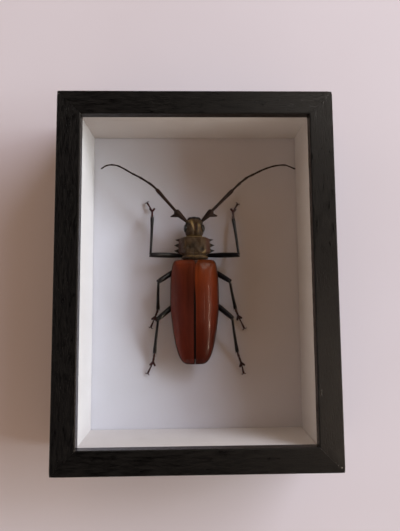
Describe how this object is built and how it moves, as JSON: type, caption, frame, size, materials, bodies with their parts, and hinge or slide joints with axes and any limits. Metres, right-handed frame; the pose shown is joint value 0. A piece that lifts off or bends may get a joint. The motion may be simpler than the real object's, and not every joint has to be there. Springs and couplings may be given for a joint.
{
  "type": "framed beetle specimen",
  "caption": "Shallow black box frame with a glass front and a white lining, holding a large mounted longhorn beetle with red-brown wing cases on a white card.",
  "frame": {"origin": "centre of the frame's back, on the surface that it lies on, with the glass facing up", "axes": "+Z out of the glass, +Y towards the beetle's head and the picture's top edge, +X across to the picture's right"},
  "size_m": [0.15, 0.202, 0.045],
  "materials": {
    "black_moulding": "black painted, open grain, satin",
    "clear_glass": "clear float glass",
    "white_liner": "matt white",
    "white_card": "matt white card",
    "hardboard": "bare hardboard",
    "zinc_plated_steel": "zinc plated",
    "brown_cuticle": "rough brown cuticle with fine pile",
    "black_cuticle": "glossy black cuticle",
    "wing_case": "polished red-brown cuticle with black borders",
    "antenna_cuticle": "finely pitted dark brown cuticle"
  },
  "bodies": {
    "root": {"rail_top": "black_moulding", "rail_bottom": "black_moulding", "rail_left": "black_moulding", "rail_right": "black_moulding", "glass_pane": "clear_glass", "liner_top": "white_liner", "liner_bottom": "white_liner", "liner_left": "white_liner", "liner_right": "white_liner", "mounting_card": "white_card", "back_board": "hardboard", "fixing_point_1": "zinc_plated_steel", "fixing_point_2": "zinc_plated_steel", "fixing_point_3": "zinc_plated_steel", "fixing_point_4": "zinc_plated_steel", "fixing_point_5": "zinc_plated_steel", "fixing_point_6": "zinc_plated_steel", "hanger": "zinc_plated_steel", "head": "brown_cuticle", "pronotum": "brown_cuticle", "underbody": "black_cuticle", "elytron_left": "wing_case", "elytron_right": "wing_case", "antenna_left": "antenna_cuticle", "antenna_right": "antenna_cuticle", "leg_front_left": "black_cuticle", "leg_front_right": "black_cuticle", "leg_middle_left": "black_cuticle", "leg_middle_right": "black_cuticle", "leg_hind_left": "black_cuticle", "leg_hind_right": "black_cuticle"}
  },
  "joints": []
}
